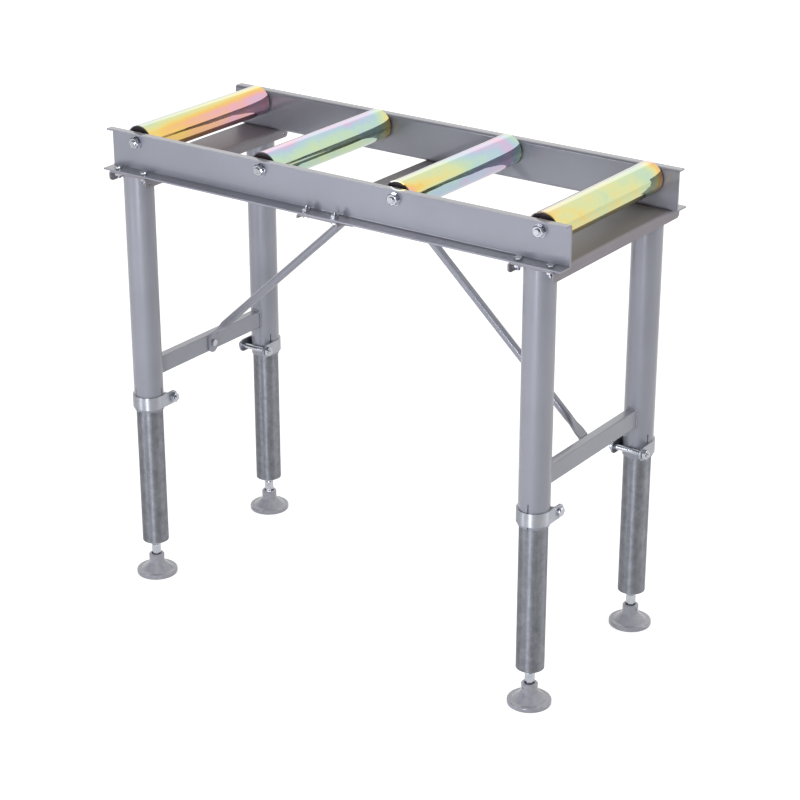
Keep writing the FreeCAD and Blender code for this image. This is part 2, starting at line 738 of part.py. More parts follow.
def brace_taper(piece, flat_at, round_at):
    """The stretch where the brace's tube is pressed flat."""
    flat = slanted_sketch(piece, flat_at)
    box(flat, "-tab_thickness / 2", "tab_thickness / 2", "-tab_width / 2", "tab_width / 2")
    full = slanted_sketch(piece, round_at)
    circle(full, "brace_tube / 2")
    taper = piece.newObject("PartDesign::AdditiveLoft", "Taper")
    taper.Profile = flat
    taper.Sections = [full]
    taper.Ruled = True
    return taper


def brace(name, turn):
    """A diagonal tube with flattened, bent ends: one on the centre member, one on a crossbar."""
    piece = keep(body(f"{name}_brace"))
    upper_tab = f"({BRACE_BOLT_LEVEL} + upper_tab_end - {UPPER_BEND_Z})"
    lower_tab = f"({LOWER_BEND_Z} - bar_level + lower_tab_end)"
    tube_start = "(brace_flat + brace_taper)"
    tube_end = f"({BRACE_LENGTH} - brace_flat - brace_taper)"
    tube = slanted_sketch(piece, tube_start)
    circle(tube, "brace_tube / 2")
    circle(tube, "brace_tube / 2 - brace_wall")
    pad(piece, tube, f"{tube_end} - {tube_start}")
    brace_taper(piece, "brace_flat", tube_start)
    brace_taper(piece, f"({BRACE_LENGTH} - brace_flat)", tube_end)
    brace_end(piece, UPPER_BEND_X, UPPER_BEND_Z, 1, upper_tab)
    brace_end(piece, LOWER_BEND_X, LOWER_BEND_Z, -1, lower_tab)
    for middle, level in ((UPPER_BEND_X, BRACE_BOLT_LEVEL), (LOWER_BEND_X, "bar_level")):
        hole = sketch(piece, "YZ_Plane", middle)
        circle(hole, BOLT_HOLE, "0", level)
        cut(piece, hole, "tab_thickness + 2 * overrun")
    return place(piece, turn=turn)


def roller(number, share):
    """A roller: its tube, two end caps and the bearings' outer rings with their balls."""
    x = roller_place(share)
    tube = keep(body(f"roller_{number}_tube"))
    section = sketch(tube, "XY_Plane")
    circle(section, "roller_tube / 2")
    circle(section, "roller_tube / 2 - roller_wall")
    pad(tube, section, f"2 * {ROLLER_END}", "Symmetric")
    place(tube, x, "0", AXLE_LEVEL, ALONG_Y)
    group(f"roller_{number}_end_caps", [
        (end_cap_piece, x, ROLLER_END, AXLE_LEVEL, ALONG_Y),
        (end_cap_piece, x, f"-{ROLLER_END}", AXLE_LEVEL, AGAINST_Y),
    ])
    bearings = []
    for side, turn in ((1, ALONG_Y), (-1, AGAINST_Y)):
        inward_face = f"{side} * ({BEARING_FACE} - bearing_width)"
        bearings.append((outer_ring_piece, x, inward_face, AXLE_LEVEL, turn))
        for index in range(BALL_COUNT):
            angle = 360 / BALL_COUNT * index
            track = "(axle / 2 + bearing_outside / 2) / 2"
            bearings.append((
                ball_piece,
                f"{x} + {track} * cos({angle})",
                f"{side} * ({BEARING_FACE} - bearing_width / 2)",
                f"{AXLE_LEVEL} + {track} * sin({angle})",
                ALONG_Z,
            ))
    return group(f"roller_{number}_bearings", bearings)


def end_cap():
    """A plastic cap along Z: a skirt in the tube's end, a disc and a hub round the bearing."""
    piece = body("end_cap")
    skirt_outside = "(roller_tube / 2 - roller_wall - fit_gap)"
    skirt_inside = f"({skirt_outside} - cap_skirt)"
    housing = "(bearing_outside / 2 + fit_gap)"
    hub = f"({housing} + hub_wall)"
    turned(piece, [
        (skirt_outside, "-cap_depth"),
        (skirt_outside, "-cap_recess"),
        (hub, "-cap_recess"),
        (hub, "hub_out", "lip_sheet"),
        ("lip_bore / 2", "hub_out"),
        ("lip_bore / 2", "hub_out - lip_sheet"),
        (housing, "hub_out - lip_sheet"),
        (housing, "-cap_depth"),
        (hub, "-cap_depth"),
        (hub, "-cap_recess - cap_disc"),
        (skirt_inside, "-cap_recess - cap_disc"),
        (skirt_inside, "-cap_depth"),
    ])
    return piece


def bearing_ball():
    """A bearing's ball, which runs between its two rings."""
    ball = doc.addObject("Part::Sphere", "bearing_ball")
    gap = "(bearing_outside / 2 - axle / 2 - 2 * bearing_ring)"
    ball.setExpression("Radius", bound(f"{gap} / 2 - ball_clearance"))
    return ball


def axle(number, share):
    """A roller's fixed axle through both rails, chamfered at its threaded ends."""
    piece = keep(body(f"roller_axle_{number}"))
    end = f"({WEB_OUTSIDE} + axle_washer_sheet + axle_nut_height + axle_proud)"
    turned(piece, [
        ("0", f"-{end}"),
        ("axle / 2 - axle_chamfer", f"-{end}"),
        ("axle / 2", f"-{end} + axle_chamfer"),
        ("axle / 2", f"{end} - axle_chamfer"),
        ("axle / 2 - axle_chamfer", end),
        ("0", end),
    ])
    return place(piece, roller_place(share), "0", AXLE_LEVEL, ALONG_Y)


def on_each_axle_end(piece, distance):
    """Copies of a piece at both ends of every axle, facing outward."""
    copies = []
    for share in ROLLER_PLACES_SHARES:
        x = roller_place(share)
        copies.append((piece, x, f"-({distance})", AXLE_LEVEL, AGAINST_Y))
        copies.append((piece, x, f"({distance})", AXLE_LEVEL, ALONG_Y))
    return copies


def at_each_rail_bolt(piece, end_level, end_turn, centre_level, centre_turn):
    """Copies of a piece at the four corners of every cross member."""
    copies = []
    for name, middle in member_places():
        level, turn = (centre_level, centre_turn) if name == "centre" else (end_level, end_turn)
        for side in (-1, 1):
            for across in (-1, 1):
                x, y = f"{middle} + {side} * rail_bolt_spread", f"{across} * {RAIL_BOLT_STANCE}"
                copies.append((piece, x, y, level, turn))
    return copies


def at_each_brace_tab(piece, upper, lower, upper_turn, lower_turn):
    """Copies of a piece at both ends of both braces, with their turns on the right side."""
    copies = [
        (piece, upper, "0", BRACE_BOLT_LEVEL, upper_turn),
        (piece, lower, "0", "bar_level", lower_turn),
        (piece, f"-({upper})", "0", BRACE_BOLT_LEVEL, lower_turn),
        (piece, f"-({lower})", "0", "bar_level", upper_turn),
    ]
    return copies


def at_each_clamp(piece, distance, facing_head):
    """Copies of a piece at every clamp bolt, on its head's side or on its nut's."""
    copies = []
    for name, side, across, slit_turn, head_side, hole_turn in LEGS:
        outward = head_side * facing_head
        turn = ALONG_X if outward > 0 else AGAINST_X
        x = f"{side} * {LEG_SPREAD} + {outward} * ({distance})"
        y = f"{across} * ({LEG_STANCE} - strap_bolt_reach)"
        copies.append((piece, x, y, STRAP_LEVEL, turn))
    return copies


# The frame
half_turn = FreeCAD.Rotation(FreeCAD.Vector(0, 0, 1), 180)
rail("rear_rail", ALONG_Z)
rail("front_rail", half_turn)
for member_name, middle_place in member_places():
    cross_member(member_name, middle_place)
for side_name, side_sign in (("left", -1), ("right", 1)):
    crossbar(side_name, side_sign)
brace("right", ALONG_Z)
brace("left", half_turn)

# Rail bolts and their nuts: heads on top at the end members, underneath at the centre one
rail_bolt_length = "rail_sheet + member_sheet + frame_nut_height + frame_bolt_tail"
rail_bolt_piece = hex_bolt("rail_bolt", "frame_bolt", "frame_bolt_flats", "frame_bolt_head",
                           rail_bolt_length)
frame_nut_piece = hex_nut("frame_nut", "frame_bolt / 2 + fit_gap", "frame_bolt_flats",
                          "frame_nut_height")
flange_face = f"{RAIL_BOTTOM} + rail_sheet"
group("rail_bolts", at_each_rail_bolt(rail_bolt_piece, flange_face, ALONG_Z, MEMBER_UNDERSIDE, AGAINST_Z))
group("rail_nuts", at_each_rail_bolt(frame_nut_piece, MEMBER_UNDERSIDE, AGAINST_Z, flange_face, ALONG_Z))

# Brace bolts, into nuts behind the member's flange and inside the crossbar
brace_bolt_length = "tab_thickness + member_sheet + frame_nut_height + frame_bolt_tail / 2"
brace_bolt_piece = hex_bolt("brace_bolt", "frame_bolt", "frame_bolt_flats", "frame_bolt_head",
                            brace_bolt_length)
group("brace_bolts", at_each_brace_tab(
    brace_bolt_piece,
    "member_width / 2 + tab_thickness",
    f"{LEG_SPREAD} - bar_width / 2 - tab_thickness",
    ALONG_X, AGAINST_X,
))
group("brace_nuts", at_each_brace_tab(
    frame_nut_piece,
    "member_width / 2 - member_sheet",
    f"{LEG_SPREAD} - bar_width / 2 + bar_wall",
    AGAINST_X, ALONG_X,
))

# Legs, feet and clamps
for leg_name, leg_side, leg_across, leg_slit, leg_head, leg_hole in LEGS:
    outer_leg(leg_name, leg_side, leg_across, leg_slit)
    inner_leg(leg_name, leg_side, leg_across)
    leg_end_nuts(leg_name, leg_side, leg_across)
    foot_pad(leg_name, leg_side, leg_across, leg_hole)
    foot_spindle(leg_name, leg_side, leg_across)
    clamp_strap(leg_name, leg_side, leg_across)
clamp_bolt_piece = clamp_bolt()
clamp_nut_piece = hex_nut("clamp_nut", "clamp_bolt / 2 + fit_gap", "clamp_nut_flats", "clamp_nut_height")
strap_face = "outer_tube / 2 + fit_gap + strap_sheet"
group("clamp_bolts", at_each_clamp(clamp_bolt_piece, strap_face, 1))
group("clamp_nuts", at_each_clamp(clamp_nut_piece, strap_face, -1))

# Rollers, axles and what holds them
end_cap_piece = end_cap()
outer_ring_piece = ring("bearing_outer_ring", "bearing_outside / 2",
                        "bearing_outside / 2 - bearing_ring", "bearing_width")
inner_ring_piece = ring("bearing_inner_ring", "axle / 2 + bearing_ring",
                        "axle / 2 + fit_gap", "bearing_width")
spacer_piece = ring("axle_spacer", "spacer_tube / 2", "axle / 2 + fit_gap", SPACER_LENGTH)
washer_piece = ring("axle_washer", "axle_washer / 2", "axle / 2 + bolt_clearance", "axle_washer_sheet")
axle_nut_piece = hex_nut("axle_nut", "axle / 2 + fit_gap", "axle_nut_flats", "axle_nut_height")
ball_piece = bearing_ball()
for roller_number, place_share in enumerate(ROLLER_PLACES_SHARES, 1):
    roller(roller_number, place_share)
    axle(roller_number, place_share)
group("bearing_inner_rings", on_each_axle_end(inner_ring_piece, f"{BEARING_FACE} - bearing_width"))
group("axle_spacers", on_each_axle_end(spacer_piece, BEARING_FACE))
group("axle_washers", on_each_axle_end(washer_piece, WEB_OUTSIDE))
group("axle_nuts", on_each_axle_end(axle_nut_piece, f"{WEB_OUTSIDE} + axle_washer_sheet"))

doc.recompute()

faults = [item.Label for item in doc.Objects if {"Invalid", "Error"} & set(item.State)]
faults += [item.Label for item in parts if item.Shape.isNull() or not item.Shape.isValid()]
if faults:
    raise SystemExit("failed: " + ", ".join(faults))

os.makedirs("parts", exist_ok=True)
for item in parts:
    item.Shape.exportStep(f"parts/{item.Label}.step")
print(len(parts), "sub-parts written")
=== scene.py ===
import json
import math

import bmesh
import bpy
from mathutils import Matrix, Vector


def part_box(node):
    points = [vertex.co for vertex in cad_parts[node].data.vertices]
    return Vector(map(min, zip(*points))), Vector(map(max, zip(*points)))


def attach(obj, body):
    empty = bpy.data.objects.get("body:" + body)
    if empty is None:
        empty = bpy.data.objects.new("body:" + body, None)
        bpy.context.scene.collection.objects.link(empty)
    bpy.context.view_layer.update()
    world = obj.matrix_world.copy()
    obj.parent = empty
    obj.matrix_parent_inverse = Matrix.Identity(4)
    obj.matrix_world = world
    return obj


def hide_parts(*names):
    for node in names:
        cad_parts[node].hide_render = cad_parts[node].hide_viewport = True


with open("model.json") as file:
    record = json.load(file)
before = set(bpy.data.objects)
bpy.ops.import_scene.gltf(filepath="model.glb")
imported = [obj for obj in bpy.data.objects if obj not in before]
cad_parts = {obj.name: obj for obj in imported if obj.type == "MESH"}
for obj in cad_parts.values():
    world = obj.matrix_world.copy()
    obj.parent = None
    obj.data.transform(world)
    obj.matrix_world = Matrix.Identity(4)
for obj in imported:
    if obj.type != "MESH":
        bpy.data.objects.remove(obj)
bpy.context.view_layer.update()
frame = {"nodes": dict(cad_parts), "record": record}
NODES = frame["nodes"]

# The camera stands to the right of the stand's front and looks down on it
CAMERA_PLACE = (2.251, -3.138, 2.063)
CAMERA_HEADING = 35.31
CAMERA_DROP = 23.05
CAMERA_LENS_MM = 99.54
SENSOR_MM = 36.0

# Each leg: its sides along and across, and the side that its clamp bolt's head is on
LEGS = {
    "front_left": (-1, -1, -1),
    "front_right": (1, -1, 1),
    "rear_left": (-1, 1, -1),
    "rear_right": (1, 1, -1),
}

# Where the legs, rails and rollers are, read from the frame, in metres
LEG_LOW, LEG_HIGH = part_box("front_right_outer_leg")
LEG_X = (LEG_LOW.x + LEG_HIGH.x) / 2
LEG_Y = -(LEG_LOW.y + LEG_HIGH.y) / 2
LEG_RADIUS = (LEG_HIGH.x - LEG_LOW.x) / 2
LEG_TOP = LEG_HIGH.z
ROLLERS = (1, 2, 3, 4)
ROLLER_BOXES = [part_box(f"roller_{number}_tube") for number in ROLLERS]
ROLLER_CENTRES = [(low + high) / 2 for low, high in ROLLER_BOXES]
ROLLER_RADIUS = (ROLLER_BOXES[0][1].x - ROLLER_BOXES[0][0].x) / 2
ROLLER_LENGTH = ROLLER_BOXES[0][1].y - ROLLER_BOXES[0][0].y
RAIL_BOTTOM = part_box("front_rail")[0].z

# Sheets, crossbars, and where the screws sit
RAIL_SHEET = 0.003
MEMBER_SHEET = 0.003
BAR_HALF_WIDTH = 0.010
BAR_HALF_HEIGHT = 0.0175
BAR_LEVEL = 0.4395
RAIL_BOLT_SPREAD = 0.0315
RAIL_BOLT_STANCE = 0.201
CLAMP_LEVEL = 0.377
CLAMP_BOLT_Y = LEG_Y - 0.0345
CLAMP_HEAD_FACE = 0.03155
CLAMP_HEAD_RADIUS = 0.00875
CLAMP_HEAD_HEIGHT = 0.006
HEX_TOP = 0.063
HEX_LENGTH = 0.027
NECK_RADIUS = 0.0055
BALL_RADIUS = 0.0097
BALL_LEVEL = 0.022

# The M8 rail bolts, M10 clamp bolts, M12 axles and M12 foot spindles
RAIL_BOLT = {"Length": 0.018, "Radius": 0.004, "Plain Length": 0.001, "Pitch": 0.00125,
             "Tip": 0.0008, "Head Flats": 0.013, "Head Height": 0.0053, "Head": True}
CLAMP_BOLT = {"Length": 0.0751, "Radius": 0.005, "Plain Length": 0.042, "Pitch": 0.0015,
              "Tip": 0.001, "Head": False}
AXLE_END = {"Length": 0.1965, "Radius": 0.006, "Plain Length": 0.163, "Pitch": 0.00175,
            "Tip": 0.001, "Head": False}
SPINDLE = {"Length": 0.062, "Radius": 0.006, "Plain Length": 0.001, "Pitch": 0.00175,
           "Tip": 0.0012, "Head Flats": 0.016, "Head Height": HEX_LENGTH, "Head": True}

# How finely screws and turned pieces are drawn
SHANK_SIDES = 24
RINGS_TO_A_THREAD = 6.0
HEAD_SIDES = 48
HEAD_RING_HEIGHT = 0.0006
TURNED_SIDES = 40
DOME_STEPS = 8
BALL_STEPS = 16
SHARP_ANGLE = 38

# A thread's groove: its depth as a share of the pitch, and the shares of a turn, from the
# middle of its crest, where its flank starts and ends
GROOVE_DEPTH = 0.55
FLANK_START = 0.08
FLANK_END = 0.42
# A head's outline is drawn in by a cone of this slope from this share of its flats on
CONE_SLOPE = 1.732
LAND_SHARE = 0.95

# Weld beads: how far a seam stands off the tube, and the ripples along it
SEAM_OFF = 0.0006
SEAM_STEPS = 36
BEAD = {"Spacing": 0.0017, "Bead Radius": 0.0021, "Seed": 7}

# The tint that each tube's film has, left to right; see yellow_passivate
FILMS = [
    dict(start=0.02, drift=0.29, drain=-0.5, tip=-0.04, fray=0.04, under=0.0, last=1.0),
    dict(start=0.64, drift=0.0, drain=-0.3, tip=0.36, fray=0.09, under=0.0, last=1.0),
    dict(start=1.2, drift=-0.95, drain=-0.45, tip=0.34, fray=0.09, under=-0.62, last=-0.1),
    dict(start=1.02, drift=-0.26, drain=0.0, tip=0.42, fray=0.11, under=0.0, last=1.0),
]
# The way up and to the left that each tube hung in its bath, which is also the side painted
# paler as a highlight, and how long its tip is
DRAIN_AND_HIGHLIGHT_SIDE = (-0.67, 0.0, 0.74)
TIP_LENGTH = 0.04

# The floor, and where its glow for the camera grows from the stand outwards
FLOOR_SIZE = 40
GLOW_START = 1.0
GLOW_END = 5.0
# Each softbox: its name, place, target, width and height, watts and colour
SOFTBOXES = [
    ("front softbox", (0.85, -2.7, 0.9), (0, 0, 0.5), (0.45, 1.75), 42, "F1F4FF"),
    ("left softbox", (-1.2, -2.3, 1.0), (-0.3, 0, 0.5), (0.6, 1.6), 21, "F1F4FF"),
    ("side softbox", (3.2, 1.6, 1.3), (0, 0, 0.5), (0.7, 2.0), 22, "F7F9FF"),
    ("top softbox", (0.2, -1.4, 3.2), (0, 0, 0.7), (1.5, 1.5), 4, "FFF6EE"),
    ("back softbox", (-2.0, 2.8, 2.45), (0, 0, 0.9), (3.6, 1.2), 3, "FFFAF5"),
]


def linear(colour):
    """An sRGB hex value as linear red, green, blue and alpha."""
    shares = [int(colour[place:place + 2], 16) / 255 for place in (0, 2, 4)]
    return [s / 12.92 if s <= 0.04045 else ((s + 0.055) / 1.055) ** 2.4 for s in shares] + [1.0]


def add(tree, kind, inputs=None, stops=None, **settings):
    """Add a node: settings by name, inputs as values or links, and (place, hex) stops."""
    node = tree.nodes.new(kind)
    for name, setting in settings.items():
        setattr(node, name, setting)
    for name, given in (inputs or {}).items():
        if isinstance(given, bpy.types.NodeSocket):
            tree.links.new(given, node.inputs[name])
        else:
            node.inputs[name].default_value = given
    for number, (place, colour) in enumerate(stops or []):
        elements = node.color_ramp.elements
        element = elements[number] if number < 2 else elements.new(place)
        element.position = place
        element.color = linear(colour)
    return node


def material(name, build):
    """A material whose surface is one principled shader, filled in by build."""
    finish = bpy.data.materials.new(name)
    finish.use_nodes = True
    tree = finish.node_tree
    tree.nodes.clear()
    shader = add(tree, "ShaderNodeBsdfPrincipled")
    add(tree, "ShaderNodeOutputMaterial", {"Surface": shader.outputs["BSDF"]})
    place = add(tree, "ShaderNodeTexCoord").outputs["Object"]
    build(tree, shader, place)
    return finish


def surface(tree, shader, pattern, stops, roughness, height, strength, depth, edge=None):
    """A surface that one pattern colours between stops and makes between two roughnesses
    and another raises, with its edges rounded where edge is set."""
    tone = add(tree, "ShaderNodeValToRGB", {"Fac": pattern}, stops=stops)
    tree.links.new(tone.outputs["Color"], shader.inputs["Base Color"])
    low, high = roughness
    gloss = add(tree, "ShaderNodeMapRange", {"Value": pattern, "To Min": low, "To Max": high})
    tree.links.new(gloss.outputs["Result"], shader.inputs["Roughness"])
    bump = add(tree, "ShaderNodeBump", {"Height": height, "Strength": strength,
                                        "Distance": depth})
    if edge:
        rounded = add(tree, "ShaderNodeBevel", {"Radius": edge}, samples=6)
        tree.links.new(rounded.outputs["Normal"], bump.inputs["Normal"])
    tree.links.new(bump.outputs["Normal"], shader.inputs["Normal"])


def enamel(tree, shader, place, stops):
    """Sprayed and baked enamel between two tones, in clouds of 125 mm.

    It is semi-gloss with a fine orange peel (real cells 1.5 mm, drawn at 3 mm so that they
    show) and rounds over the sheet's edges.
    """
    clouds = add(tree, "ShaderNodeTexNoise", {"Vector": place, "Scale": 8.0, "Detail": 4.0})
    peel = add(tree, "ShaderNodeTexNoise", {"Vector": place, "Scale": 330.0, "Detail": 2.0})
    surface(tree, shader, clouds.outputs["Fac"], stops, (0.37, 0.46), peel.outputs["Fac"],
            0.14, 0.0002, edge=0.0009)
    shader.inputs["Metallic"].default_value = 0.2
    shader.inputs["IOR"].default_value = 1.5


def frame_paint(tree, shader, place):
    """Grey alkyd enamel on bent sheet and tube: barely uneven in tone, with a glossy skin
    that mirrors the room softly."""
    enamel(tree, shader, place, [(0.3, "8A8B93"), (0.7, "92939B")])
    shader.inputs["Coat Weight"].default_value = 1.0
    shader.inputs["Coat Roughness"].default_value = 0.08


def shaded_member_paint(tree, shader, place):
    """The same enamel on the cross members, with no glossy skin and a weaker shine, tinted
    browner as painted shade for their tops, which lie in shade under the rollers and between
    the rails."""
    enamel(tree, shader, place, [(0.3, "8E898D"), (0.7, "979297")])
    shader.inputs["Specular IOR Level"].default_value = 0.3


def cast_paint(tree, shader, place):
    """Thick glossy grey enamel over die cast zinc alloy: the casting's skin shows through as
    shallow waves of about 8 mm with a faint grain of 2 mm."""
    skin = add(tree, "ShaderNodeTexNoise", {"Vector": place, "Scale": 130.0, "Detail": 3.0,
                                            "Roughness": 0.4})
    surface(tree, shader, skin.outputs["Fac"], [(0.3, "96969B"), (0.7, "9F9FA4")],
            (0.14, 0.2), skin.outputs["Fac"], 0.2, 0.0005, edge=0.0012)
    shader.inputs["IOR"].default_value = 1.5
    shader.inputs["Coat Weight"].default_value = 0.6
    shader.inputs["Coat Roughness"].default_value = 0.06


def bright_zinc(tree, shader, place):
    """Blue-white passivated zinc, barrel plated: bright metal, clouded every 7 mm, with a
    faint blue to straw tint and fine handling marks of about 1.5 mm."""
    clouds = add(tree, "ShaderNodeTexNoise", {"Vector": place, "Scale": 150.0, "Detail": 5.0})
    marks = add(tree, "ShaderNodeTexNoise", {"Vector": place, "Scale": 700.0, "Detail": 3.0})
    surface(tree, shader, clouds.outputs["Fac"],
            [(0.3, "BCC1CA"), (0.5, "C8CBD1"), (0.7, "D0D0D2")], (0.08, 0.16),
            marks.outputs["Fac"], 0.2, 0.0001)
    shader.inputs["Metallic"].default_value = 1.0


def plated_lines(tree, shader, place):
    """Clear zinc plate over rolled strip or a turned spindle: clouded every 17 mm, with fine
    level lines (real pitch 0.1 mm, drawn at 0.6 mm) that draw each highlight upright."""
    clouds = add(tree, "ShaderNodeTexNoise", {"Vector": place, "Scale": 60.0, "Detail": 4.0})
    level = add(tree, "ShaderNodeMapping", {"Vector": place, "Scale": (0.06, 0.06, 1.0)})
    lines = add(tree, "ShaderNodeTexNoise", {"Vector": level.outputs["Vector"],
                                             "Scale": 1600.0, "Detail": 2.0})
    surface(tree, shader, clouds.outputs["Fac"], [(0.3, "AEB1B7"), (0.7, "BBBDC2")],
            (0.36, 0.46), lines.outputs["Fac"], 0.2, 0.0001)
    upright = add(tree, "ShaderNodeCombineXYZ", {"Z": 1.0})
    tree.links.new(upright.outputs["Vector"], shader.inputs["Tangent"])
    shader.inputs["Anisotropic"].default_value = 0.8
    shader.inputs["Metallic"].default_value = 1.0


def drawn_steel(tree, shader, place):
    """Bare precision tube, drawn and then polished round.

    Dark grey steel with a 14 mm mottle of thin oxide, fine turning lines (real pitch 0.2 mm,
    drawn at 1.2 mm) and brighter rub marks of 2 by 70 mm from sliding in the outer tube.
    """
    mottle = add(tree, "ShaderNodeTexNoise", {"Vector": place, "Scale": 70.0, "Detail": 6.0,
                                              "Roughness": 0.62})
    tone = add(tree, "ShaderNodeValToRGB", {"Fac": mottle.outputs["Fac"]},
               stops=[(0.3, "797B80"), (0.5, "86888D"), (0.7, "92949A")])
    along = add(tree, "ShaderNodeMapping", {"Vector": place, "Scale": (1.0, 1.0, 0.035)})
    rubs = add(tree, "ShaderNodeTexNoise", {"Vector": along.outputs["Vector"], "Scale": 420.0,
                                            "Detail": 3.0})
    rubbed = add(tree, "ShaderNodeMapRange", {"Value": rubs.outputs["Fac"], "From Min": 0.52,
                                              "From Max": 0.75, "To Max": 0.35})
    colour = add(tree, "ShaderNodeMix", {0: rubbed.outputs["Result"], 6: tone.outputs["Color"],
                                         7: linear("A2A4AA")}, data_type="RGBA")
    tree.links.new(colour.outputs[2], shader.inputs["Base Color"])
    gloss = add(tree, "ShaderNodeMapRange", {"Value": mottle.outputs["Fac"], "From Min": 0.3,
                                             "From Max": 0.7, "To Min": 0.5, "To Max": 0.43})
    tree.links.new(gloss.outputs["Result"], shader.inputs["Roughness"])
    level = add(tree, "ShaderNodeMapping", {"Vector": place, "Scale": (0.05, 0.05, 1.0)})
    lines = add(tree, "ShaderNodeTexNoise", {"Vector": level.outputs["Vector"],
                                             "Scale": 800.0, "Detail": 2.0})
    bump = add(tree, "ShaderNodeBump", {"Height": lines.outputs["Fac"], "Strength": 0.35,
                                        "Distance": 0.0002})
    tree.links.new(bump.outputs["Normal"], shader.inputs["Normal"])
    upright = add(tree, "ShaderNodeCombineXYZ", {"Z": 1.0})
    tree.links.new(upright.outputs["Vector"], shader.inputs["Tangent"])
    shader.inputs["Anisotropic"].default_value = 0.68
    shader.inputs["Metallic"].default_value = 1.0


def cap_plastic(tree, shader, place):
    """Injection moulded polyamide, near black with a brown cast, finely eroded in the mould
    (grain of 0.5 mm, drawn at 1 mm)."""
    grain = add(tree, "ShaderNodeTexNoise", {"Vector": place, "Scale": 1000.0, "Detail": 2.0})
    tone = add(tree, "ShaderNodeValToRGB", {"Fac": grain.outputs["Fac"]},
               stops=[(0.3, "2A2123"), (0.7, "3A2F31")])
    tree.links.new(tone.outputs["Color"], shader.inputs["Base Color"])
    bump = add(tree, "ShaderNodeBump", {"Height": grain.outputs["Fac"], "Strength": 0.3,
                                        "Distance": 0.0001})
    tree.links.new(bump.outputs["Normal"], shader.inputs["Normal"])
    shader.inputs["Roughness"].default_value = 0.3
    shader.inputs["IOR"].default_value = 1.53


